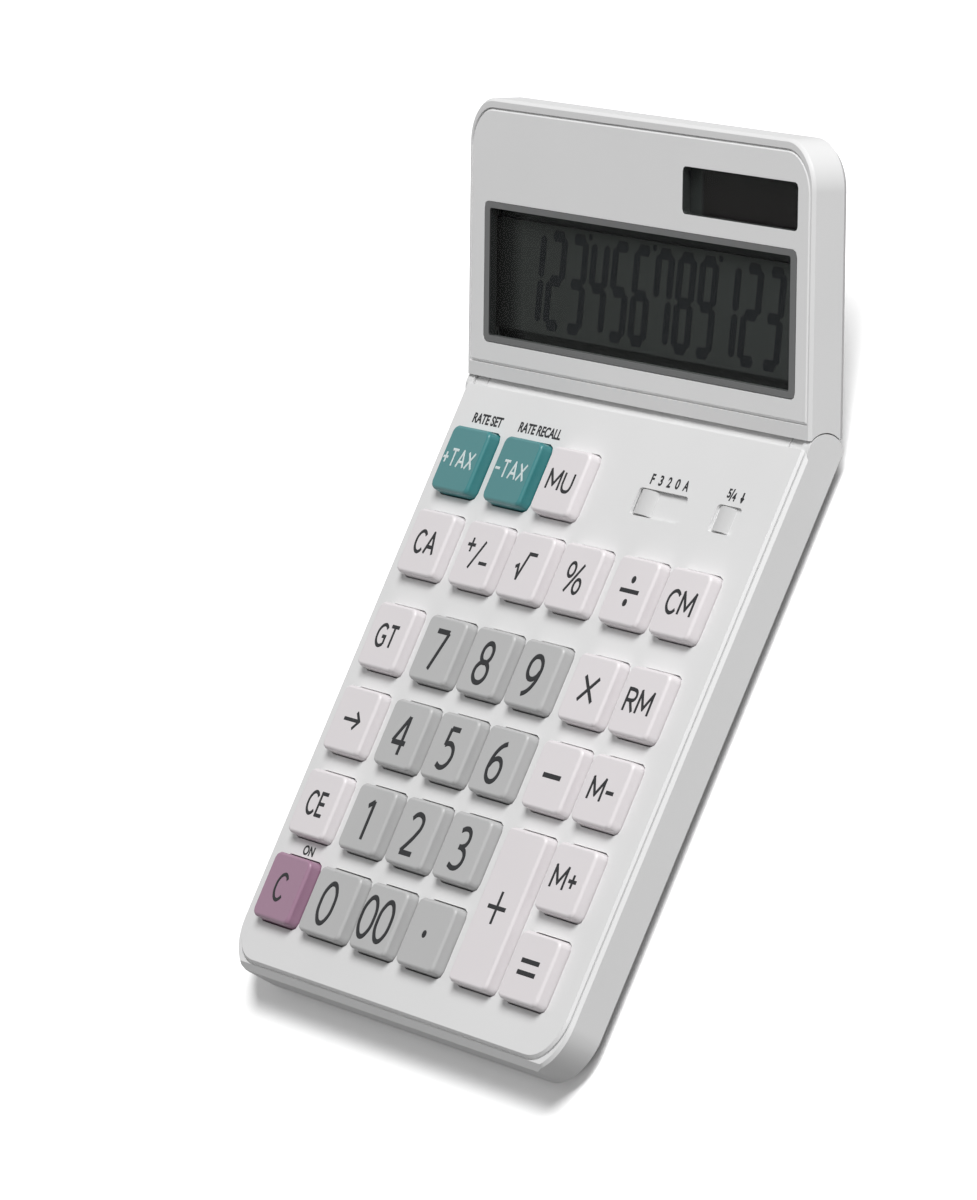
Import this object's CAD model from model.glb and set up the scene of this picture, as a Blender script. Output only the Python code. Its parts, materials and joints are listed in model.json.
import json
import math

import bpy
from mathutils import Matrix, Vector


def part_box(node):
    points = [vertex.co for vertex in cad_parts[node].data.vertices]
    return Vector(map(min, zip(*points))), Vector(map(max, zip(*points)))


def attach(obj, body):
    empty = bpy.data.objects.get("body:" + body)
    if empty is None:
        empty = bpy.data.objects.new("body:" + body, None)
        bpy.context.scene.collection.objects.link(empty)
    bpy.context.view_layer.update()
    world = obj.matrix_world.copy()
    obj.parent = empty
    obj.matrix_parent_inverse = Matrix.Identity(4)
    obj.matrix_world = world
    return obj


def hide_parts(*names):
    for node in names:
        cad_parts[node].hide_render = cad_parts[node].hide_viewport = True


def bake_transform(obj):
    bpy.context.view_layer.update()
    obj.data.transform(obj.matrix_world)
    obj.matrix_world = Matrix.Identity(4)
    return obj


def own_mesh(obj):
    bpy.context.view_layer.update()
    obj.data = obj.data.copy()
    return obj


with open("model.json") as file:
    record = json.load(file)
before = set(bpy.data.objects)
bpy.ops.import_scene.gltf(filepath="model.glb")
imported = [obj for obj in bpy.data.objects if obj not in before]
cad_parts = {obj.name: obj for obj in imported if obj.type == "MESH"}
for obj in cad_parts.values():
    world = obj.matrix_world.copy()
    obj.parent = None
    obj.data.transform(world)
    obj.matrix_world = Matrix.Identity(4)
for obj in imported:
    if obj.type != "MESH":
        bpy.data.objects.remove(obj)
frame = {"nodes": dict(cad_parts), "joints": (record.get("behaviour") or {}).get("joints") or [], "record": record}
bpy.ops.object.select_all(action="DESELECT")
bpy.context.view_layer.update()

MM = 0.001
nodes = frame["nodes"]
record = frame["record"]
body_of_node = {n: b for b, members in record["behaviour"]["bodies"].items() for n in members}
slot_of_node = {s["node"]: s["material_slot"] for s in record["subparts"]}
KEYS = [name for name in nodes if name.startswith("key_") and name != "key_rubber_sheet"]

# The base's pieces are laid out in millimetres from the hinge axis, and the display's pieces from the
# same axis in its own tilted frame: X to the right, Y away from the keys, Z out of the face. The display
# lies flat at its joint's lower limit, so that limit is its tilt at rest.
tilt_joint = [j for j in frame["joints"] if j["name"] == "display_tilt"][0]
HINGE = Vector(tilt_joint["pos_m"])
TILT = -math.radians(tilt_joint["range_deg"][0])
ON_DISPLAY = Matrix.Translation(HINGE) @ Matrix.Rotation(TILT, 4, "X")
PLATE_TOP = 3.6
CASE_UNDER = -4.4
SWITCH_ROW = -14.5


# Materials

def linear(code):
    """A colour written as sRGB hex, as the linear values that shaders read."""
    parts = [int(code[n:n + 2], 16) / 255 for n in (1, 3, 5)]
    return tuple(c / 12.92 if c <= 0.04045 else ((c + 0.055) / 1.055) ** 2.4 for c in parts) + (1.0,)


def add_node(material, kind, inputs=None, links=(), **settings):
    """Adds a shader node, with its settings, its socket values and the links into it."""
    tree = material.node_tree
    node = tree.nodes.new(kind)
    for name, value in settings.items():
        setattr(node, name, value)
    for socket, value in (inputs or {}).items():
        node.inputs[socket].default_value = value
    for socket, source, output in links:
        tree.links.new(source.outputs[output], node.inputs[socket])
    return node


def new_material(name):
    """A material with an empty node tree."""
    material = bpy.data.materials.new(name)
    material.use_nodes = True
    material.node_tree.nodes.clear()
    return material


def close(material, shader):
    """Links the finished shader to the material's output."""
    add_node(material, "ShaderNodeOutputMaterial", links=[("Surface", shader, 0)])
    return material


def moulded_plastic(name, code, roughness, grain_mm, depth, tint=0.03, polish=0.0, gloss_level=0.5):
    """A moulded or printed plastic face: an even colour that drifts very slightly over centimetres, and
    a fine grain that breaks up the highlights. The real grain is under 0.1 mm and wouldn't show, so it
    is drawn coarser."""
    m = new_material(name)
    place = add_node(m, "ShaderNodeTexCoord")
    drift = add_node(m, "ShaderNodeTexNoise", {"Scale": 1 / (28 * MM), "Detail": 2.0},
                     [("Vector", place, "Object")])
    value = add_node(m, "ShaderNodeMapRange", {"From Min": 0.3, "From Max": 0.7, "To Min": 1 - tint,
                     "To Max": 1.0}, [("Value", drift, "Fac")])
    tone = add_node(m, "ShaderNodeHueSaturation", {"Color": linear(code)}, [("Value", value, 0)])
    grain = add_node(m, "ShaderNodeTexNoise", {"Scale": 1 / (grain_mm * MM), "Detail": 3.0},
                     [("Vector", place, "Object")])
    bump = add_node(m, "ShaderNodeBump", {"Strength": 1.0, "Distance": depth * MM},
                    [("Height", grain, "Fac")])
    gloss = add_node(m, "ShaderNodeMapRange", {"To Min": roughness - 0.04, "To Max": roughness + 0.04},
                     [("Value", grain, "Fac")])
    skin = add_node(m, "ShaderNodeBsdfPrincipled", {"IOR": 1.53, "Coat Weight": polish,
                    "Coat Roughness": 0.12, "Specular IOR Level": gloss_level},
                    [("Base Color", tone, 0), ("Roughness", gloss, 0), ("Normal", bump, 0)])
    return close(m, skin)


# ABS from a spark-eroded mould: even, satin, with broad soft highlights.
case_abs = moulded_plastic("abs_moulded_white", "#E8E8E8", 0.42, 0.35, 0.0015)
# ABS from a polished mould: smoother, with a thin sharp gleam that waves over a few millimetres.
fascia_abs = moulded_plastic("abs_polished_white_fascia", "#F1F1F1", 0.3, 2.5, 0.001, polish=0.15)
# Keycaps and knobs, dyed through: satin, so that their rounded edges show as soft light lines.
key_white_abs = moulded_plastic("abs_keycap_warm_white", "#E8E3E5", 0.4, 0.3, 0.0012)
key_grey_abs = moulded_plastic("abs_keycap_light_grey", "#BCBCBC", 0.4, 0.3, 0.0012)
key_teal_abs = moulded_plastic("abs_keycap_teal", "#347F82", 0.36, 0.3, 0.0012)
key_mauve_abs = moulded_plastic("abs_keycap_mauve", "#9F7991", 0.38, 0.3, 0.0012)
knob_abs = moulded_plastic("abs_knob_white", "#D2D2D2", 0.4, 0.3, 0.001)
# Screen print on clear sheet: flat and dull, grey on the frame and nearly black round the openings.
bezel_ink = moulded_plastic("screen_printed_frame_grey", "#626363", 0.5, 0.2, 0.001)
window_black = moulded_plastic("screen_printed_black_inside", "#232424", 0.6, 0.3, 0.001)
solar_lining = moulded_plastic("screen_printed_grey_inside", "#383A3A", 0.6, 0.3, 0.001)
# Pad-printed ink: a dull film that is a little rough where the pad lifted off.
ink_dark = moulded_plastic("pad_printed_ink_dark_grey", "#27282A", 0.55, 0.12, 0.0006, gloss_level=0.15)
ink_white = moulded_plastic("pad_printed_ink_white", "#D8E4E4", 0.5, 0.12, 0.0006)
# Silicone rubber, pressed: no sharp highlight at all, black in the feet and milky in the domes.
rubber = moulded_plastic("silicone_rubber_black", "#2A2A2B", 0.75, 0.4, 0.004)
dome_silicone = moulded_plastic("silicone_rubber_translucent", "#BFC4C2", 0.55, 0.5, 0.002)
# Epoxy glass under a solder mask: deep green, satin and slightly uneven where it runs over tracks.
board_mask = moulded_plastic("epoxy_glass_board_green", "#1F5B3A", 0.4, 0.8, 0.004)


def stamped_metal(name, code, roughness, lines_mm, stretch):
    """Plated steel or spring bronze, turned, drawn or ground: fine lines stretch the highlights."""
    m = new_material(name)
    place = add_node(m, "ShaderNodeTexCoord")
    along = add_node(m, "ShaderNodeMapping", {"Scale": (1.0, stretch, 1.0)}, [("Vector", place, "Object")])
    lines = add_node(m, "ShaderNodeTexNoise", {"Scale": 1 / (lines_mm * MM), "Detail": 4.0},
                     [("Vector", along, 0)])
    gloss = add_node(m, "ShaderNodeMapRange", {"To Min": roughness - 0.08, "To Max": roughness + 0.1},
                     [("Value", lines, "Fac")])
    bump = add_node(m, "ShaderNodeBump", {"Distance": 0.004 * MM}, [("Height", lines, "Fac")])
    metal = add_node(m, "ShaderNodeBsdfPrincipled", {"Base Color": linear(code), "Metallic": 1.0},
                     [("Roughness", gloss, 0), ("Normal", bump, 0)])
    return close(m, metal)


# Rolled and zinc-plated screws are cool and soft, ground pins are ringed, the drawn nickel can is
# bright, and the stamped bronze leaves are warm with lines along them.
screw_zinc = stamped_metal("steel_zinc_plated_screw", "#C9CBCF", 0.32, 0.3, 1.0)
pin_steel = stamped_metal("steel_ground_pin", "#D0D0D2", 0.22, 0.2, 6.0)
cell_steel = stamped_metal("steel_nickel_plated_can", "#D6D6D4", 0.2, 0.4, 1.0)
contact_bronze = stamped_metal("bronze_tinned_leaf", "#D9C79A", 0.3, 0.3, 0.2)


def cast_acrylic(name, code, roughness, gleam_share):
    """Cast acrylic, polished: nearly all light passes, and its outer face mirrors the room faintly."""
    m = new_material(name)
    share = add_node(m, "ShaderNodeFresnel", {"IOR": 1.49})
    face = add_node(m, "ShaderNodeNewGeometry")
    outer = add_node(m, "ShaderNodeMath", {0: 1.0}, [(1, face, "Backfacing")], operation="SUBTRACT")
    gleam = add_node(m, "ShaderNodeMath", {}, [(0, share, 0), (1, outer, 0)], operation="MULTIPLY")
    faint = add_node(m, "ShaderNodeMath", {1: gleam_share}, [(0, gleam, 0)], operation="MULTIPLY")
    through = add_node(m, "ShaderNodeBsdfTransparent", {"Color": linear(code)})
    mirror = add_node(m, "ShaderNodeBsdfGlossy", {"Color": linear("#FFFFFF"), "Roughness": roughness})
    both = add_node(m, "ShaderNodeMixShader", {}, [(0, faint, 0), (1, through, 0), (2, mirror, 0)])
    return close(m, both)


window_acrylic = cast_acrylic("acrylic_window_clear", "#ECEEED", 0.08, 0.06)


def banded_film(name, stops, low_x, high_x, roughness):
    """A film whose darkness changes from left to right, as a liquid crystal panel's polariser and a
    solar cell do towards the edge of their window. It is matt with a faint cloudiness."""
    m = new_material(name)
    place = add_node(m, "ShaderNodeTexCoord")
    axes = add_node(m, "ShaderNodeSeparateXYZ", {}, [(0, place, "Object")])
    across = add_node(m, "ShaderNodeMapRange", {"From Min": low_x * MM, "From Max": high_x * MM},
                      [("Value", axes, "X")])
    ramp = add_node(m, "ShaderNodeValToRGB", {}, [("Fac", across, 0)])
    colours = ramp.color_ramp.elements
    while len(colours) < len(stops):
        colours.new(0.5)
    for held, (where, code) in zip(colours, stops):
        held.position = where
        held.color = linear(code)
    cloud = add_node(m, "ShaderNodeTexNoise", {"Scale": 1 / (14 * MM), "Detail": 1.0},
                     [("Vector", place, "Object")])
    value = add_node(m, "ShaderNodeMapRange", {"To Min": 0.9, "To Max": 1.1}, [("Value", cloud, "Fac")])
    tone = add_node(m, "ShaderNodeHueSaturation", {}, [("Color", ramp, 0), ("Value", value, 0)])
    film = add_node(m, "ShaderNodeBsdfPrincipled", {"Roughness": roughness, "Specular IOR Level": 0.06},
                    [("Base Color", tone, 0)])
    return close(m, film)


LCD_LEFT, LCD_RIGHT = -48.0, 48.7
SOLAR_LEFT, SOLAR_RIGHT = 15.05, 50.45
# Stretched polariser film: dark olive grey, nearly black beyond the panel's lit area.
lcd_film = banded_film("polariser_film_dark",
                       [(0.0, "#1A1A1A"), (0.05, "#202121"), (0.09, "#4A4B4A"), (1.0, "#4D4E4E")],
                       LCD_LEFT, LCD_RIGHT, 0.5)
# A switched-on segment: the same film, bluish black.
segment_ink = banded_film("lcd_segment_blue_black", [(0.0, "#25262A"), (1.0, "#25262A")],
                          LCD_LEFT, LCD_RIGHT, 0.5)
# Silicon deposited on glass: brown-black, with a bare grey margin at its left end.
solar_film = banded_film("amorphous_silicon_brown",
                         [(0.0, "#444646"), (0.09, "#444646"), (0.12, "#1B1516"), (1.0, "#1A1315")],
                         SOLAR_LEFT, SOLAR_RIGHT, 0.35)


TRACK_PITCH = 0.6
WAVE_AT_SCALE_ONE = 0.314


def ribbon_stripes():
    """Polyimide film with copper tracks printed along it: amber with darker lines that show through."""
    m = new_material("polyimide_ribbon_amber")
    place = add_node(m, "ShaderNodeTexCoord")
    tracks = add_node(m, "ShaderNodeTexWave", {"Scale": WAVE_AT_SCALE_ONE / (TRACK_PITCH * MM),
                      "Distortion": 0.0}, [("Vector", place, "Object")])
    ramp = add_node(m, "ShaderNodeValToRGB", {}, [("Fac", tracks, "Fac")])
    ramp.color_ramp.elements[0].color = linear("#A8702A")
    ramp.color_ramp.elements[0].position = 0.4
    ramp.color_ramp.elements[1].color = linear("#C8933C")
    ramp.color_ramp.elements[1].position = 0.6
    film = add_node(m, "ShaderNodeBsdfPrincipled", {"Roughness": 0.3, "IOR": 1.7}, [("Base Color", ramp, 0)])
    return close(m, film)


ribbon_film = ribbon_stripes()

BY_SLOT = {
    "case_white": case_abs, "fascia_white": fascia_abs, "key_white": key_white_abs,
    "key_grey": key_grey_abs, "key_teal": key_teal_abs, "key_mauve": key_mauve_abs,
    "knob_white": knob_abs, "bezel_grey": bezel_ink, "window_clear": window_acrylic,
    "lcd_dark": lcd_film, "solar_dark": solar_film, "board_green": board_mask,
    "dome_rubber": dome_silicone, "foot_rubber": rubber, "screw_steel": screw_zinc,
    "pin_steel": pin_steel, "cell_steel": cell_steel, "contact_metal": contact_bronze,
    "ribbon_film": ribbon_film,
}
for name, thing in nodes.items():
    thing.data.materials.clear()
    thing.data.materials.append(BY_SLOT[slot_of_node[name]])


# Modelling helpers

def only(piece):
    """Makes one object the selected and active one."""
    bpy.ops.object.select_all(action="DESELECT")
    piece.select_set(True)
    bpy.context.view_layer.objects.active = piece


def made(name):
    """The object that an operator has just added, under its own name."""
    piece = bpy.context.view_layer.objects.active
    piece.name = name
    piece.data.name = name
    return piece


def apply_modifier(piece, kind, **settings):
    """Adds one modifier with its settings and applies it at once."""
    only(piece)
    modifier = piece.modifiers.new(kind.title(), kind)
    for name, value in settings.items():
        setattr(modifier, name, value)
    bpy.ops.object.modifier_apply(modifier=modifier.name)


def pick_points(piece, chosen):
    """Goes into edit mode with only the points that a test picks."""
    only(piece)
    bpy.ops.object.mode_set(mode="EDIT")
    bpy.ops.mesh.select_mode(type="VERT")
    bpy.ops.mesh.select_all(action="DESELECT")
    bpy.ops.object.mode_set(mode="OBJECT")
    for point in piece.data.vertices:
        point.select = chosen(point.co / MM)
    bpy.ops.object.mode_set(mode="EDIT")


def pick_faces(piece, chosen):
    """Goes into edit mode with only the faces whose middle and normal a test picks."""
    only(piece)
    bpy.ops.object.mode_set(mode="EDIT")
    bpy.ops.mesh.select_mode(type="FACE")
    bpy.ops.mesh.select_all(action="DESELECT")
    bpy.ops.object.mode_set(mode="OBJECT")
    for face in piece.data.polygons:
        face.select = chosen(face.center / MM, face.normal)
    bpy.ops.object.mode_set(mode="EDIT")


def done():
    """Leaves edit mode."""
    bpy.ops.object.mode_set(mode="OBJECT")


def copy_of(piece, name, placed):
    """A copy with its own mesh, put where a matrix says."""
    copy = bpy.data.objects.new(name, piece.data.copy())
    bpy.context.scene.collection.objects.link(copy)
    copy.data.transform(placed)
    return copy


def joined(pieces, name):
    """Several pieces made one."""
    bpy.ops.object.select_all(action="DESELECT")
    for piece in pieces:
        piece.select_set(True)
    bpy.context.view_layer.objects.active = pieces[0]
    bpy.ops.object.join()
    return made(name)


def settle(piece, body, material):
    """Leaves the piece at the origin with its place in its mesh, finished and riding on a body."""
    only(piece)
    bpy.ops.object.transform_apply(location=True, rotation=True, scale=True)
    piece.data.materials.clear()
    piece.data.materials.append(material)
    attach(piece, body)
    return piece


def shade(piece, angle=50):
    """Smooth across rounded edges, with the large faces kept flat to the eye."""
    only(piece)
    bpy.ops.object.shade_smooth_by_angle(angle=math.radians(angle))
    apply_modifier(piece, "WEIGHTED_NORMAL", keep_sharp=True, weight=100)


def merged(node, name):
    """A copy of a CAD piece with its loose triangles merged into whole faces."""
    piece = copy_of(nodes[node], name, Matrix.Identity(4))
    only(piece)
    bpy.ops.object.mode_set(mode="EDIT")
    bpy.ops.mesh.select_all(action="SELECT")
    bpy.ops.mesh.remove_doubles(threshold=0.002 * MM)
    bpy.ops.mesh.dissolve_limited(angle_limit=math.radians(0.5))
    bpy.ops.mesh.normals_make_consistent(inside=False)
    done()
    return piece


def soften(node, width, segments=3, angle=30, smooth=50, piece=None):
    """The CAD piece with its sharp edges rounded as a mould leaves them."""
    piece = piece or merged(node, node + "_rounded")
    apply_modifier(piece, "BEVEL", width=width * MM, segments=segments, limit_method="ANGLE",
                   angle_limit=math.radians(angle), miter_outer="MITER_ARC")
    shade(piece, smooth)
    settle(piece, body_of_node[node], BY_SLOT[slot_of_node[node]])
    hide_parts(node)
    return piece


def on_base(x, y, z):
    """A place given in millimetres from the hinge axis, as the base's pieces are laid out."""
    return HINGE + Vector((x, y, z)) * MM


def on_display(x, y, z):
    """The same for the display's pieces, as a matrix that also turns a piece to the display's tilt."""
    return ON_DISPLAY @ Matrix.Translation(Vector((x, y, z)) * MM)


def block(name, middle, size):
    """A cube drawn out to a size in millimetres about its middle, to be cut with, joined or bevelled."""
    bpy.ops.mesh.primitive_cube_add(size=1, location=middle)
    piece = made(name)
    piece.scale = Vector(size) * MM
    only(piece)
    bpy.ops.object.transform_apply(location=True, rotation=True, scale=True)
    return piece


def disc(name, radius, height, sides):
    """A round blank that stands on the origin, in millimetres, to be shaped into a turned piece."""
    bpy.ops.mesh.primitive_cylinder_add(vertices=sides, radius=radius * MM, depth=height * MM,
                                        location=(0, 0, height / 2 * MM))
    piece = made(name)
    only(piece)
    bpy.ops.object.transform_apply(location=True)
    return piece


# Pieces that keep the CAD form and get rounded edges

for name in KEYS:
    soften(name, 0.2)
soften("lower_case", 0.15, segments=2)
soften("display_rear_case", 0.2, segments=2)
soften("battery_cover", 0.12, segments=2)

# How much wider a panel is drawn, so that its seam is a hairline.
SEAM = 0.28
# The openings in the display's panels: their left, right, lower and upper edges.
SOLAR_OPENING = (14.0, 51.3, 34.5, 45.5)
LCD_OPENING = (-47.95, 48.65, 9.525, 31.125)


def close_seam(piece, spare):
    """A panel that is pressed into its place is drawn out until only a hairline is left round it."""
    piece.data.transform(ON_DISPLAY.inverted())
    across = [point.co.x for point in piece.data.vertices]
    along = [point.co.y for point in piece.data.vertices]
    middle = Vector(((min(across) + max(across)) / 2, (min(along) + max(along)) / 2, 0))
    wide, long = max(across) - min(across), max(along) - min(along)
    grow = Matrix.Diagonal((1 + spare * MM / wide, 1 + spare * MM / long, 1, 1))
    piece.data.transform(ON_DISPLAY @ Matrix.Translation(middle) @ grow @ Matrix.Translation(-middle))


def line_walls(piece, lining, opening):
    """Gives dark walls to an opening, as the inside of such a window is printed or lined."""
    left, right, lower, upper = opening
    piece.data.materials.append(lining)
    to_local = ON_DISPLAY.inverted()
    for face in piece.data.polygons:
        middle = to_local @ face.center / MM
        upright = abs((to_local.to_3x3() @ face.normal).z) < 0.5
        inside = left < middle.x < right and lower < middle.y < upper
        face.material_index = 1 if upright and inside else 0


def make_panels():
    """The white fascia and the grey frame, seated without gaps."""
    for node, width, lining, opening in (("display_fascia", 0.07, solar_lining, SOLAR_OPENING),
                                         ("display_bezel", 0.06, window_black, LCD_OPENING)):
        panel = soften(node, width, segments=2)
        close_seam(panel, SEAM)
        line_walls(panel, lining, opening)


make_panels()

# The room under the plate in which both switches slide, and the plate's skin over it.
ROOM_MIDDLE, ROOM_WIDE, ROOM_LONG, ROOM_DEEP = 24.3, 45.2, 6.0, 2.0
ROOM_SKIN = 0.5


def make_upper_case():
    """The key plate's moulding. Round the two switches it is thin, as in such mouldings, and open, so
    that the plate under each knob shows as the floor of its slot."""
    case = merged("upper_case", "upper_case_rounded")
    room_place = on_base(ROOM_MIDDLE, SWITCH_ROW, PLATE_TOP - ROOM_SKIN - ROOM_DEEP / 2)
    room = block("switch_room", room_place, (ROOM_WIDE, ROOM_LONG, ROOM_DEEP))
    apply_modifier(case, "BOOLEAN", object=room, operation="DIFFERENCE", solver="EXACT")
    bpy.data.objects.remove(room)
    soften("upper_case", 0.12, segments=2, piece=case)


make_upper_case()

# The knobs: width, length, radius of the arch, how far it stands proud of the key plate and how deep it
# is sunk in its cover plate. Then the stem, down to the contact leaf, and the cover plate.
KNOB_WIDE, KNOB_LONG, KNOB_ARCH = 5.4, 4.3, 4.15
KNOB_PROUD, KNOB_SUNK = 0.35, 0.12
STEM_WIDE, STEM_LONG, STEM_TOP, STEM_END = 2.0, 1.4, -0.45, -2.35
COVER_LONG, COVER_THICK = 5.4, 0.15


def trim(piece, place, out):
    """Cuts off all that lies beyond a plane, given in millimetres, and closes the cut."""
    only(piece)
    bpy.ops.object.mode_set(mode="EDIT")
    bpy.ops.mesh.select_all(action="SELECT")
    bpy.ops.mesh.bisect(plane_co=Vector(place) * MM, plane_no=out, use_fill=True, clear_outer=True)
    done()


def make_knob(node, x, cover, drop):
    """A smoothly arched knob cut from a drum, on a stem, and the wide thin plate that closes its slot
    and looks like the slot's floor. The two plates pass over each other, so one lies lower."""
    bpy.ops.mesh.primitive_cylinder_add(vertices=96, radius=KNOB_ARCH * MM, depth=KNOB_LONG * MM,
                                        location=(0, 0, (KNOB_PROUD - KNOB_ARCH) * MM),
                                        rotation=(math.radians(90), 0, 0))
    arch = made("knob_arch")
    bpy.ops.object.transform_apply(location=True, rotation=True)
    trim(arch, (0, 0, -drop - KNOB_SUNK), (0, 0, -1))
    for side in (1, -1):
        trim(arch, (side * KNOB_WIDE / 2, 0, 0), (side, 0, 0))
    stem = block("knob_stem", (0, 0, (STEM_TOP + STEM_END) / 2 * MM),
                 (STEM_WIDE, STEM_LONG, STEM_TOP - STEM_END))
    plate = block("knob_plate", (0, 0, (-drop - COVER_THICK / 2) * MM), (cover, COVER_LONG, COVER_THICK))
    knob = joined([arch, stem, plate], node + "_arched")
    apply_modifier(knob, "BEVEL", width=0.1 * MM, segments=2, limit_method="ANGLE",
                   angle_limit=math.radians(35))
    shade(knob, 30)
    knob.data.transform(Matrix.Translation(on_base(x, SWITCH_ROW, PLATE_TOP)))
    settle(knob, body_of_node[node], knob_abs)
    knob.data.materials.append(case_abs)
    floor_top = on_base(x, SWITCH_ROW, PLATE_TOP - drop).z + 0.01 * MM
    for face in knob.data.polygons:
        face.material_index = 1 if face.center.z < floor_top and abs(face.normal.z) > 0.5 else 0
    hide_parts(node)


# Each knob's place at rest, the width of its cover plate and that plate's depth.
make_knob("decimal_switch_knob", 15.0, 25.8, 0.72)
make_knob("rounding_switch_knob", 39.55, 9.9, 0.53)


# The rubber sheet, the screws, the feet and the cable

SHEET_THICK = 0.6
DOME_RADIUS = 2.5


def make_rubber_sheet():
    """Silicone rubber on the main board, with a dome under each key that gives way as the key goes down."""
    low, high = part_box("key_rubber_sheet")
    floor = low.z + SHEET_THICK * MM
    height = (high.z - floor) / MM
    sheet = merged("key_rubber_sheet", "key_rubber_sheet_flat")
    trim(sheet, (0, 0, floor / MM + 0.02), (0, 0, 1))
    shade(sheet, 30)
    settle(sheet, "base", dome_silicone)
    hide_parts("key_rubber_sheet")
    dome = disc("rubber_dome", DOME_RADIUS, height, 20)
    pick_points(dome, lambda p: p.z > height - 0.1)
    bpy.ops.transform.resize(value=(0.85, 0.85, 1.0), center_override=(0, 0, height * MM))
    done()
    apply_modifier(dome, "BEVEL", width=0.25 * MM, segments=2, limit_method="ANGLE")
    shade(dome)
    # A key goes down 1.2 mm, and its dome gives way by as much.
    for key in KEYS:
        key_low, key_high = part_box(key)
        place = Vector(((key_low.x + key_high.x) / 2, (key_low.y + key_high.y) / 2, floor))
        piece = copy_of(dome, key + "_dome", Matrix.Translation(place))
        settle(piece, "base", dome_silicone)
        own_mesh(piece)
        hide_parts("key_rubber_sheet")
    bpy.data.objects.remove(dome)


make_rubber_sheet()


HEAD_RADIUS, HEAD_HIGH = 2.0, 0.9
SHANK_RADIUS = 1.0


def crosshead_screw(length):
    """A low round head with a rolled rim and a cross recess, which faces down, on its shank."""
    screw = disc("crosshead_screw", HEAD_RADIUS, HEAD_HIGH, 32)
    pick_faces(screw, lambda middle, normal: normal.z < -0.9)
    bpy.ops.mesh.inset(thickness=0.28 * MM)
    done()
    pick_points(screw, lambda p: p.z < 0.01 and p.xy.length > HEAD_RADIUS - 0.1)
    bpy.ops.transform.translate(value=(0, 0, 0.22 * MM))
    done()
    pick_faces(screw, lambda middle, normal: normal.z > 0.9)
    bpy.ops.mesh.inset(thickness=(HEAD_RADIUS - SHANK_RADIUS) * MM)
    bpy.ops.mesh.extrude_region_move(TRANSFORM_OT_translate={"value": (0, 0, length * MM)})
    bpy.ops.mesh.inset(thickness=0.3 * MM)
    bpy.ops.transform.translate(value=(0, 0, 0.15 * MM))
    done()
    for turn in (0, 90):
        wing = block("recess_wing", (0, 0, 0.2 * MM), (2.3, 0.5, 1.0))
        wing.data.transform(Matrix.Rotation(math.radians(turn), 4, "Z"))
        pick_points(wing, lambda p: p.z > 0.5)
        bpy.ops.transform.resize(value=(0.45, 0.45, 1.0))
        done()
        apply_modifier(screw, "BOOLEAN", object=wing, operation="DIFFERENCE", solver="EXACT")
        bpy.data.objects.remove(wing)
    shade(screw, 35)
    return screw


def drive(screw, node, places):
    """Copies of a screw in the holes of one node, each stopped at its own angle."""
    for number, placed in enumerate(places):
        piece = copy_of(screw, "%s_crosshead_%d" % (node, number),
                        placed @ Matrix.Rotation(math.radians(23 + 51 * number), 4, "Z"))
        settle(piece, body_of_node[node], screw_zinc)
        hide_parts(node)
    bpy.data.objects.remove(screw)


# Four screws in the corners of the case and two further in, seen from below.
CASE_SCREW_PLACES = ((-45.75, -102.3), (45.75, -102.3), (-45.75, -5.5), (45.75, -5.5), (-33.775, -38.325),
                     (15.875, -38.325))
COVER_MIDDLE, COVER_SCREW_ROW, COVER_PROUD = 5.5, -5.5, 0.4
DISPLAY_SCREW_ROW, DISPLAY_BACK = 38.975, -4.1

drive(crosshead_screw(5.0), "case_screws", [
    Matrix.Translation(on_base(x, y, CASE_UNDER)) for x, y in CASE_SCREW_PLACES
])
drive(crosshead_screw(3.8), "battery_cover_screw", [
    Matrix.Translation(on_base(COVER_MIDDLE, COVER_SCREW_ROW, CASE_UNDER - COVER_PROUD))
])
drive(crosshead_screw(3.8), "display_screws", [
    on_display(x, DISPLAY_SCREW_ROW, DISPLAY_BACK) for x in (-28.0, 7.95)
])

FOOT_RADIUS, FOOT_HIGH = 4.0, 0.8
FOOT_PLACES = ((-43.25, -90), (43.25, -90), (43.25, -15), (-43.25, -15))


def make_rubber_feet():
    """Pressed rubber discs: a soft rim, a shallow hollow underneath and a broad face on the case."""
    foot = disc("rubber_foot", FOOT_RADIUS, FOOT_HIGH, 48)
    pick_faces(foot, lambda middle, normal: normal.z < -0.9)
    for step in (0.22, 0.7, 0.25):
        bpy.ops.mesh.inset(thickness=step * MM)
    bpy.ops.transform.translate(value=(0, 0, 0.18 * MM))
    done()
    pick_points(foot, lambda p: p.z < 0.01 and p.xy.length > FOOT_RADIUS - 0.1)
    bpy.ops.transform.translate(value=(0, 0, 0.2 * MM))
    done()
    apply_modifier(foot, "BEVEL", width=0.08 * MM, segments=2, limit_method="ANGLE")
    shade(foot)
    for number, (x, y) in enumerate(FOOT_PLACES):
        place = Matrix.Translation(on_base(x, y, CASE_UNDER - FOOT_HIGH))
        piece = copy_of(foot, "rubber_foot_%d" % number, place)
        settle(piece, "base", rubber)
        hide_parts("rubber_feet")
    bpy.data.objects.remove(foot)


make_rubber_feet()

# The cable's way from the main board to the display board, as (y, z), and its left edge and width.
RIBBON_ROUTE = ((-8.4, -1.27), (-4.5, -1.27), (0.6, -1.2), (6.9, 1.75), (9.65, 3.1))
RIBBON_LEFT, RIBBON_WIDE, RIBBON_THICK = -16, 8, 0.2


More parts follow.
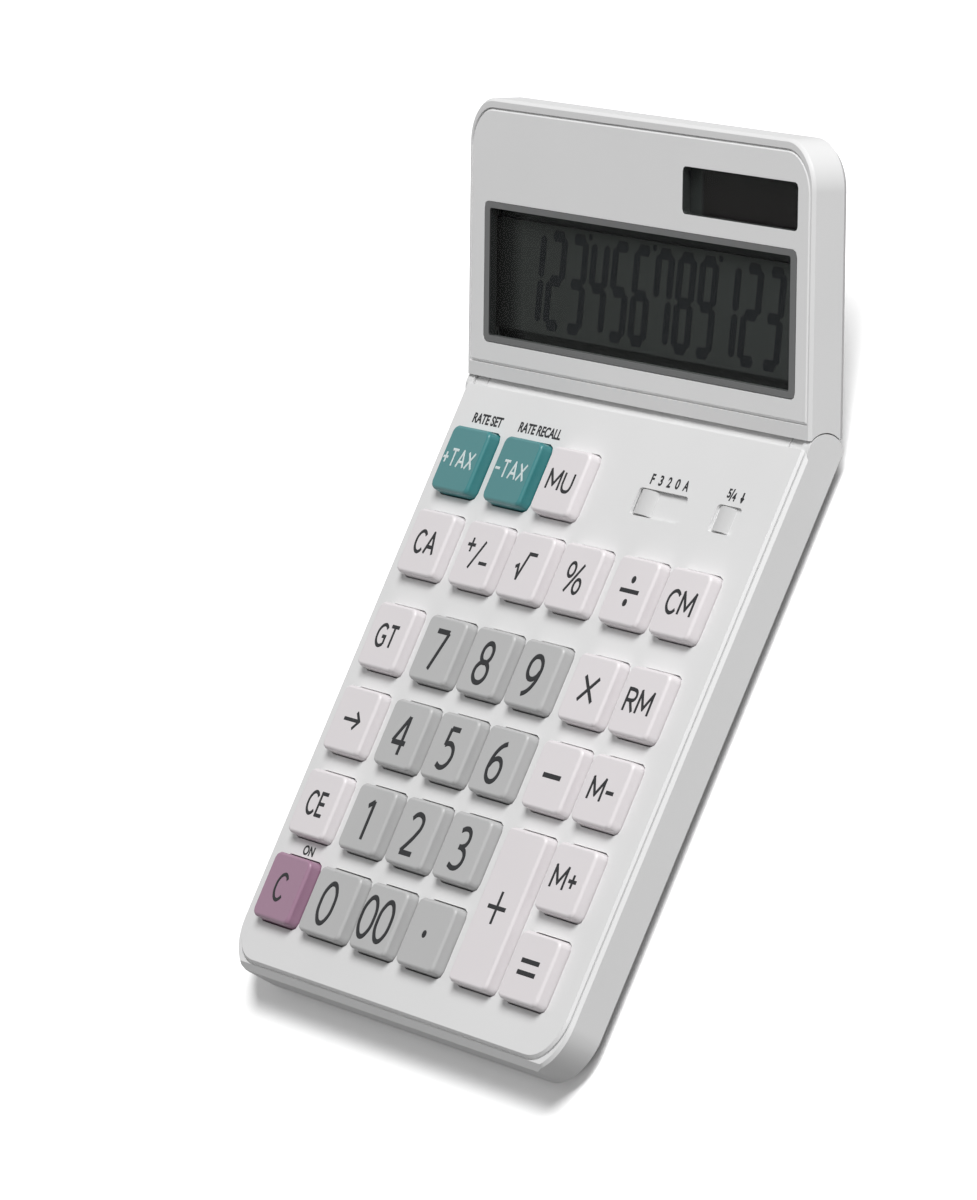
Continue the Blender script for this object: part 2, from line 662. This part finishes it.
def make_ribbon():
    """The flat cable: it lies on the main board, rises through the hinge in one soft bend and ends on
    the display board. It bends between the two bodies as the display tilts."""
    bpy.ops.curve.primitive_nurbs_path_add()
    route = made("ribbon_route")
    spline = route.data.splines[0]
    for point, (y, z) in zip(spline.points, RIBBON_ROUTE):
        place = on_base(RIBBON_LEFT, y, z)
        point.co = (place.x, place.y, place.z, 1)
    spline.order_u = 3
    spline.use_endpoint_u = True
    route.data.resolution_u = 6
    only(route)
    bpy.ops.object.convert(target="MESH")
    ribbon = made("ribbon_cable_film")
    bpy.ops.object.mode_set(mode="EDIT")
    bpy.ops.mesh.select_all(action="SELECT")
    bpy.ops.mesh.extrude_region_move(TRANSFORM_OT_translate={"value": (RIBBON_WIDE * MM, 0, 0)})
    bpy.ops.mesh.select_all(action="SELECT")
    bpy.ops.mesh.normals_make_consistent(inside=False)
    done()
    apply_modifier(ribbon, "SOLIDIFY", thickness=RIBBON_THICK * MM, offset=0)
    shade(ribbon)
    only(ribbon)
    bpy.ops.object.transform_apply(location=True, rotation=True, scale=True)
    ribbon.data.materials.clear()
    ribbon.data.materials.append(ribbon_film)
    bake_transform(ribbon)
    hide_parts("ribbon_cable")


make_ribbon()


RIB_COUNT, RIB_PITCH, FIRST_RIB_ROW = 5, 1.1, -19.6
RIB_SIZE = (8, 0.45, 0.3)
ARROW_ROW, ARROW_RADIUS = -11.6, 1.7


def make_cover_grip():
    """Moulded ribs and an arrow on the battery cover that show which way it comes off."""
    parts = []
    for number in range(RIB_COUNT):
        place = on_base(COVER_MIDDLE, FIRST_RIB_ROW + number * RIB_PITCH, CASE_UNDER)
        parts.append(block("cover_rib_%d" % number, place, RIB_SIZE))
    arrow = disc("cover_arrow", ARROW_RADIUS, RIB_SIZE[2], 3)
    arrow.data.transform(Matrix.Translation(on_base(COVER_MIDDLE, ARROW_ROW, CASE_UNDER - RIB_SIZE[2] / 2)))
    parts.append(arrow)
    grip = joined(parts, "battery_cover_grip")
    apply_modifier(grip, "BEVEL", width=0.1 * MM, segments=2, limit_method="ANGLE")
    shade(grip)
    settle(grip, "base", case_abs)


make_cover_grip()


# Digits of the liquid crystal panel

SEGMENT = 1.9
CELL_WIDE, CELL_HIGH = 4.1, 7.55
FIRST_DIGIT, DIGIT_PITCH, DIGIT_ROW, DIGIT_LEVEL = -35.3, 6.95, 20.35, 1.43
LEAN = 0.15
SHOWN = "123456789123"
MARK_AFTER = (2, 5, 8)
# The parts of each digit: a, g and d lie from top to bottom, f and e stand at the left, b and c at the
# right. The places are shares of the cell's width and height, and whether the part lies.
SEGMENTS_OF = {"1": "bc", "2": "abged", "3": "abgcd", "4": "fgbc", "5": "afgcd", "6": "afgecd", "7": "fabc",
               "8": "abcdefg", "9": "abcdfg"}
SEGMENT_PLACES = {"a": (0, 1, True), "g": (0, 0, True), "d": (0, -1, True), "f": (-0.5, 0.5, False),
                  "b": (0.5, 0.5, False), "e": (-0.5, -0.5, False), "c": (0.5, -0.5, False)}


def segment_bar(name, length):
    """One six-sided bar of a digit, pointed at both ends, lying along Y at the origin."""
    bpy.ops.mesh.primitive_circle_add(vertices=6, radius=SEGMENT * MM / math.sqrt(3), fill_type="NGON")
    bar = made(name)
    for side in (1, -1):
        pick_points(bar, lambda p: p.y * side > 0.1)
        bpy.ops.transform.translate(value=(0, side * (length / 2 - SEGMENT / math.sqrt(3)) * MM, 0))
        done()
    apply_modifier(bar, "SOLIDIFY", thickness=0.02 * MM, offset=0)
    return bar


def make_lcd_digits():
    """Twelve leaning seven-part digits with a mark after each third one, just above the panel."""
    lying = segment_bar("lying_bar", CELL_WIDE - 0.25)
    standing = segment_bar("standing_bar", CELL_HIGH - 0.3)
    lean = Matrix.Identity(4)
    lean[0][1] = LEAN
    for number, digit in enumerate(SHOWN):
        bars = []
        for part in SEGMENTS_OF[digit]:
            x, y, flat = SEGMENT_PLACES[part]
            place = Matrix.Translation((x * CELL_WIDE * MM, y * CELL_HIGH * MM, 0))
            turned = Matrix.Rotation(math.radians(90), 4, "Z") if flat else Matrix.Identity(4)
            bars.append(copy_of(lying if flat else standing, "bar", place @ turned))
        if number in MARK_AFTER:
            mark = Matrix.Translation((3.3 * MM, 8.3 * MM, 0)) @ Matrix.Diagonal((0.6, 0.3, 1, 1))
            bars.append(copy_of(lying, "bar", mark))
        shown = joined(bars, "lcd_digit_%02d" % (number + 1))
        shown.data.transform(on_display(FIRST_DIGIT + DIGIT_PITCH * number, DIGIT_ROW, DIGIT_LEVEL) @ lean)
        settle(shown, "display", segment_ink)
    bpy.data.objects.remove(lying)
    bpy.data.objects.remove(standing)


make_lcd_digits()


# Printed legends

# The prints' thickness, their lift off the face, and the pen for digits, all in millimetres.
INK = 0.05
LIFT = 0.004
PEN = 0.92


def flat_print(piece, width=None, height=None):
    """Turns letters or pen strokes into a flat mesh, and letters also to a size about the origin."""
    only(piece)
    bpy.ops.object.convert(target="MESH")
    piece = made(piece.name)
    bpy.ops.object.origin_set(type="ORIGIN_GEOMETRY", center="BOUNDS")
    if width:
        piece.location = (0, 0, 0)
    now = piece.dimensions
    piece.scale = (width / now.x if width else 1, height / now.y if height else 1, INK / now.z)
    bpy.ops.object.transform_apply(location=True, rotation=True, scale=True)
    return piece


def lettering(name, words, width, height):
    """Words in plain upright letters, drawn out to the printed size in millimetres."""
    bpy.ops.object.text_add()
    piece = made(name)
    piece.data.body = words
    piece.data.extrude = 0.01
    piece.data.offset = 0.03
    piece.data.resolution_u = 6
    return flat_print(piece, width, height)


def strokes(name, lines, thick):
    """A sign drawn with a pen of one width. A line is (points, whether it bends smoothly, closed)."""
    curve = bpy.data.curves.new(name, "CURVE")
    curve.dimensions = "3D"
    curve.bevel_depth = thick / 2
    curve.bevel_resolution = 2
    curve.resolution_u = 6
    curve.use_fill_caps = True
    for points, smooth, closed in lines:
        if smooth:
            spline = curve.splines.new("BEZIER")
            spline.bezier_points.add(len(points) - 1)
            for point, (x, y) in zip(spline.bezier_points, points):
                point.co = (x, y, 0)
                point.handle_left_type = point.handle_right_type = "AUTO"
            spline.use_cyclic_u = closed
            continue
        for number in range(len(points) - 1):
            start, end = Vector(points[number]), Vector(points[number + 1])
            past = (end - start).normalized() * thick * 0.4
            start -= past if number > 0 else Vector((0, 0))
            end += past if number < len(points) - 2 else Vector((0, 0))
            spline = curve.splines.new("POLY")
            spline.points.add(1)
            spline.points[0].co = (start.x, start.y, 0, 1)
            spline.points[1].co = (end.x, end.y, 0, 1)
    sign = bpy.data.objects.new(name, curve)
    bpy.context.scene.collection.objects.link(sign)
    return flat_print(sign)


def print_on(piece, x, y, z, body, material):
    """Puts a printed sign, drawn in millimetres about the origin, on a face of the base or of a key."""
    piece.data.transform(Matrix.Translation((x, y, z + LIFT * MM)) @ Matrix.Diagonal((MM, MM, MM, 1)))
    return settle(piece, body, material)


def oval(cx, cy, rx, ry, count=8):
    """Points round an ellipse, for a closed smooth stroke."""
    return [(cx + rx * math.cos(math.tau * n / count), cy + ry * math.sin(math.tau * n / count))
            for n in range(count)]


def dash(x, y, half):
    """A level stroke about a middle."""
    return [(x - half, y), (x + half, y)], False, False


def line(*points):
    """Straight strokes from point to point."""
    return list(points), False, False


def bend(*points):
    """One smooth stroke through the points."""
    return list(points), True, False


# The digits, drawn about the middle of a keycap in millimetres.
SIX = [(1.35, 3.35), (0.15, 2.85), (-1.15, 1.55), (-1.9, -0.4), (-1.9, -1.9), (-1.15, -3.0), (0.05, -3.38),
       (1.25, -2.95), (1.95, -1.4), (1.45, 0.1), (0.2, 0.62), (-1.1, 0.15), (-1.85, -0.9)]
DIGITS = {
    "0": [(oval(0, 0, 2.2, 3.5), True, True)],
    "1": [line((0.62, 3.4), (0.62, -3.4)), line((-1.0, 2.35), (0.62, 3.3))],
    "2": [bend((-1.85, 2.5), (-0.8, 3.3), (0.4, 3.4), (1.6, 2.75), (1.85, 1.6), (1.1, 0.1), (-0.5, -1.8),
               (-1.9, -3.2)), line((-1.95, -3.36), (1.95, -3.36))],
    "3": [bend((-1.65, 2.95), (-0.45, 3.4), (0.85, 3.2), (1.55, 2.2), (1.3, 1.0), (0.2, 0.35),
               (-0.75, 0.25)),
          bend((-0.75, 0.25), (0.55, 0.1), (1.65, -0.6), (1.95, -1.7), (1.25, -2.95), (-0.3, -3.4),
               (-1.95, -2.95))],
    "4": [line((0.95, 3.4), (0.95, -3.4)), line((0.85, 3.3), (-2.1, -1.2)), line((-2.2, -1.3), (2.2, -1.3))],
    "5": [line((-1.2, 3.36), (1.6, 3.36)), line((-1.15, 3.4), (-1.4, 0.4)),
          bend((-1.4, 0.5), (-0.3, 0.85), (1.0, 0.55), (1.85, -0.5), (1.8, -1.8), (0.9, -3.0), (-0.5, -3.4),
               (-1.95, -2.95))],
    "6": [(SIX, True, False)],
    "7": [line((-1.95, 3.36), (2.0, 3.36)), line((1.95, 3.3), (-0.6, -3.4))],
    "8": [(oval(0, 1.75, 1.6, 1.7), True, True), (oval(0, -1.65, 2.05, 1.8), True, True)],
    "9": [([(-x, -y) for x, y in SIX], True, False)],
}
DIGITS["00"] = [([(x + shift, y) for x, y in oval(0, 0, 2.1, 3.45)], True, True) for shift in (-2.75, 2.75)]
# The signs, each with the width of its pen.
SIGNS = {
    "key_plus": ([dash(0, 0, 2.8), line((0, -2.8), (0, 2.8))], 0.75),
    "key_minus": ([dash(0, 0, 2.8)], 0.85),
    "key_equals": ([dash(0, 1.0, 2.8), dash(0, -1.0, 2.8)], 0.8),
    "key_multiply": ([line((-2.2, -2.1), (2.2, 2.1)), line((-2.2, 2.1), (2.2, -2.1))], 0.75),
    "key_divide": ([dash(0, 0, 2.9)], 0.75),
    "key_backspace": ([dash(0, 0, 2.6), line((1.0, 1.5), (2.6, 0), (1.0, -1.5))], 0.65),
    "key_percent": ([line((-1.8, -2.5), (1.8, 2.5)), (oval(-1.6, 1.3, 1.0, 1.2), True, True),
                     (oval(1.6, -1.3, 1.0, 1.2), True, True)], 0.62),
    "key_square_root": ([line((-2.7, -0.4), (-1.85, 0.0), (-1.2, -2.3), (0.3, 2.2), (2.8, 2.2))], 0.65),
    "key_change_sign": ([dash(-2.8, 1.5, 1.25), line((-2.8, 0.25), (-2.8, 2.75)),
                         line((-1.45, -2.5), (1.45, 2.5)), dash(2.8, -1.3, 1.3)], 0.6),
    "key_point": ([(oval(0, 0, 0.22, 0.22), True, True)], 0.9),
}
# Plain capitals as pen lines in a box of one by one, each with its width beside its height.
CAPITALS = {
    "A": (0.88, [line((0, 0), (0.5, 1), (1, 0)), dash(0.5, 0.33, 0.32)]),
    "C": (0.8, [bend((1, 0.82), (0.78, 0.96), (0.5, 1.0), (0.13, 0.82), (0, 0.5), (0.13, 0.18), (0.5, 0),
                     (0.78, 0.04), (1, 0.18))]),
    "E": (0.62, [line((1, 1), (0, 1), (0, 0), (1, 0)), line((0, 0.52), (0.9, 0.52))]),
    "G": (0.85, [bend((0.97, 0.84), (0.76, 0.97), (0.5, 1.0), (0.13, 0.82), (0, 0.5), (0.13, 0.18), (0.5, 0),
                      (0.8, 0.04), (0.99, 0.12)), line((0.62, 0.46), (0.99, 0.46), (0.99, 0.1))]),
    "M": (0.98, [line((0, 0), (0.02, 1), (0.5, 0.25), (0.98, 1), (1, 0))]),
    "R": (0.72, [line((0, 0), (0, 1), (0.5, 1)),
                 bend((0.5, 1), (0.83, 0.93), (0.96, 0.75), (0.83, 0.56), (0.5, 0.5)),
                 line((0.5, 0.5), (0, 0.5)), line((0.45, 0.5), (1, 0))]),
    "T": (0.78, [line((0, 1), (1, 1)), line((0.5, 1), (0.5, 0))]),
    "U": (0.75, [line((0, 1), (0, 0.34)), bend((0, 0.34), (0.15, 0.09), (0.5, 0), (0.85, 0.09), (1, 0.34)),
                 line((1, 0.34), (1, 1))]),
    "X": (0.82, [line((0, 0), (1, 1)), line((0, 1), (1, 0))]),
    "+": (0.62, [dash(0.5, 0.48, 0.5), line((0.5, 0.16), (0.5, 0.8))]),
    "-": (0.6, [dash(0.5, 0.48, 0.5)]),
}
SPACE = 0.28
# The words, each with its printed width, its height and its pen in millimetres.
WORDS = {
    "key_tax_plus": ("+TAX", 10.5, 3.4, 0.5), "key_tax_minus": ("-TAX", 10.3, 3.4, 0.5),
    "key_mark_up": ("MU", 8.3, 3.9, 0.62), "key_clear_all": ("CA", 7.1, 4.4, 0.66),
    "key_memory_clear": ("CM", 8.4, 4.4, 0.66), "key_grand_total": ("GT", 6.9, 4.4, 0.66),
    "key_memory_recall": ("RM", 8.2, 4.4, 0.66), "key_clear_entry": ("CE", 6.4, 4.5, 0.66),
    "key_clear": ("C", 3.7, 5.2, 0.68), "key_memory_minus": ("M-", 7.9, 4.3, 0.66),
    "key_memory_plus": ("M+", 8.0, 4.3, 0.66),
}


def spelled(word, width, height, pen):
    """The pen lines of a word that is drawn out to a width and a height over its strokes."""
    whole = sum(CAPITALS[letter][0] for letter in word) + SPACE * (len(word) - 1)
    lines, left = [], 0
    for letter in word:
        share, parts = CAPITALS[letter]
        for points, smooth, closed in parts:
            lines.append(([(((left + x * share) / whole - 0.5) * (width - pen), (y - 0.5) * (height - pen))
                           for x, y in points], smooth, closed))
        left += share + SPACE
    return lines


# Where a print stands off the middle of its key, in millimetres to the right.
ASIDE = {
    "key_tax_plus": -0.45, "key_tax_minus": -0.45, "key_mark_up": 0.25,
    "key_clear_all": 0.3, "key_change_sign": 0.2, "key_square_root": 0.1, "key_percent": 0.4,
    "key_divide": 0.4, "key_memory_clear": 0.4,
    "key_grand_total": 0.25, "key_multiply": 0.35, "key_memory_recall": 0.1,
    "key_backspace": 0.25, "key_minus": 0.2, "key_memory_minus": 0.15,
    "key_clear_entry": 0.2, "key_clear": -0.35, "key_0": -0.5, "key_00": -0.45, "key_point": -0.3,
}
DIGITS_LOWER = 0.2
DIVIDE_DOT = 2.0


def print_keys():
    """A print on the middle of each key: white ink on the two teal keys and dark ink on the others."""
    for key in KEYS:
        low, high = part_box(key)
        x, y = (low.x + high.x) / 2 + ASIDE.get(key, 0) * MM, (low.y + high.y) / 2
        body, slot = body_of_node[key], slot_of_node[key]
        if key[4:] in DIGITS:
            sign = strokes(key + "_print", DIGITS[key[4:]], PEN)
            y -= DIGITS_LOWER * MM
        elif key in SIGNS:
            sign = strokes(key + "_print", *SIGNS[key])
        else:
            word, width, height, pen = WORDS[key]
            sign = strokes(key + "_print", spelled(word, width, height, pen), pen)
        print_on(sign, x, y, high.z, body, ink_white if "tax" in key else ink_dark)
        if key == "key_divide":
            for number, side in enumerate((-1, 1)):
                dot = strokes("key_divide_dot_%d" % number, [(oval(0, 0, 0.2, 0.2), True, True)], 0.9)
                print_on(dot, x, y + side * DIVIDE_DOT * MM, high.z, body, ink_dark)


# The small prints on the plate: name, words, place from the origin, width and height in millimetres.
PLATE_PRINTS = (
    ("rate_set_print", "RATE SET", -42.5, 24.47, 9.8, 1.85),
    ("rate_recall_print", "RATE RECALL", -24.8, 24.47, 14.0, 1.85),
    ("switch_f_print", "F", 14.99, 20.5, 1.0, 1.83),
    ("switch_3_print", "3", 17.63, 20.5, 1.1, 1.83),
    ("switch_2_print", "2", 20.25, 20.5, 1.15, 1.83),
    ("switch_0_print", "0", 22.83, 20.5, 1.25, 1.83),
    ("switch_a_print", "A", 25.55, 20.5, 1.6, 1.83),
    ("rounding_5_print", "5", 38.75, 20.85, 1.0, 1.6),
    ("rounding_slash_print", "/", 39.6, 20.65, 0.9, 2.1),
    ("rounding_4_print", "4", 40.45, 20.4, 1.0, 1.5),
    ("on_print", "ON", -42.39, -54.3, 3.7, 1.75),
)
DOWN_ARROW = [line((0, 0.8), (0, -0.6)), line((-0.36, -0.1), (0, -0.75), (0.36, -0.1))]
DOWN_ARROW_X, DOWN_ARROW_Y, DOWN_ARROW_PEN = 42.95, 20.6, 0.5


def print_plate():
    """The small words and marks beside the keys and above the switches."""
    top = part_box("upper_case")[1].z
    for name, words, x, y, width, height in PLATE_PRINTS:
        piece = lettering(name, words, width, height)
        print_on(piece, x * MM, y * MM, top, "base", ink_dark)
    arrow = strokes("rounding_down_print", DOWN_ARROW, DOWN_ARROW_PEN)
    print_on(arrow, DOWN_ARROW_X * MM, DOWN_ARROW_Y * MM, top, "base", ink_dark)


print_keys()
print_plate()


# Camera, floor and light

# The camera's place in metres, its turns in degrees and its lens and film in millimetres, as solved
# from the key grid and the display in the photograph.
CAMERA_PLACE = (1.10956, -0.12037, 0.66384)
CAMERA_TURNS = (36.6969, 51.4217, 37.8170)
CAMERA_LENS, FILM_WIDTH = 237.01, 36


def make_camera():
    """A long lens from the right and above, as the photograph was taken."""
    bpy.ops.object.camera_add(location=CAMERA_PLACE, rotation=[math.radians(turn) for turn in CAMERA_TURNS])
    camera = made("photo_camera")
    camera.data.sensor_width = FILM_WIDTH
    camera.data.lens = CAMERA_LENS
    camera.data.clip_start, camera.data.clip_end = 0.1, 10
    bpy.context.scene.camera = camera


def background_share(owner):
    """Adds nodes that give one for the rays that show a background: the camera's own, and those that
    glossy and clear faces send on."""
    ray = add_node(owner, "ShaderNodeLightPath")
    seen = add_node(owner, "ShaderNodeMath", {}, [(0, ray, "Is Camera Ray"), (1, ray, "Is Glossy Ray")],
                    operation="MAXIMUM")
    return add_node(owner, "ShaderNodeMath", {}, [(0, seen, 0), (1, ray, "Is Transmission Ray")],
                    operation="MAXIMUM")


FLOOR_GLOW = 0.05
PAPER_SHARE, PAPER_OVEREXPOSED = 0.5, 1.7


def make_floor():
    """White paper. It lights the object as pale grey paper does, and the camera sees it overexposed and
    glowing a little, as in a catalogue picture, so that it is white wherever the object's shadow
    doesn't fall."""
    bpy.ops.mesh.primitive_plane_add(size=6)
    floor = made("floor")
    m = new_material("paper_sweep_white")
    share = background_share(m)
    glow = add_node(m, "ShaderNodeMath", {1: FLOOR_GLOW}, [(0, share, 0)], operation="MULTIPLY")
    ray = add_node(m, "ShaderNodeLightPath")
    white = add_node(m, "ShaderNodeMapRange", {"To Min": PAPER_SHARE, "To Max": PAPER_OVEREXPOSED},
                     [("Value", ray, "Is Camera Ray")])
    paper = add_node(m, "ShaderNodeBsdfDiffuse", {}, [("Color", white, 0)])
    light = add_node(m, "ShaderNodeEmission", {"Color": linear("#FFFFFF")}, [("Strength", glow, 0)])
    close(m, add_node(m, "ShaderNodeAddShader", {}, [(0, paper, 0), (1, light, 0)]))
    floor.data.materials.append(m)


ROOM_LIGHT = 0.2
SOFTBOX_PLACE = Vector((1.0, 1.22, 1.55))
SOFTBOX_SIZE, SOFTBOX_WATTS = 1.0, 47.5


def make_lights():
    """A wide softbox high at the right and behind, in an even room that gives a little light and that
    the camera, glossy and clear faces see white."""
    world = bpy.data.worlds.new("studio")
    bpy.context.scene.world = world
    world.use_nodes = True
    share = background_share(world)
    strength = add_node(world, "ShaderNodeMapRange", {"To Min": ROOM_LIGHT, "To Max": 1.0},
                        [("Value", share, 0)])
    background = world.node_tree.nodes["Background"]
    background.inputs["Color"].default_value = linear("#FFFFFF")
    world.node_tree.links.new(strength.outputs[0], background.inputs["Strength"])
    bpy.ops.object.light_add(type="AREA", location=SOFTBOX_PLACE,
                             rotation=(-SOFTBOX_PLACE).to_track_quat("-Z", "Y").to_euler())
    softbox = made("softbox_overhead")
    softbox.data.shape = "SQUARE"
    softbox.data.size = SOFTBOX_SIZE
    softbox.data.energy = SOFTBOX_WATTS


make_camera()
make_floor()
make_lights()
bpy.context.scene.view_settings.view_transform = "Standard"
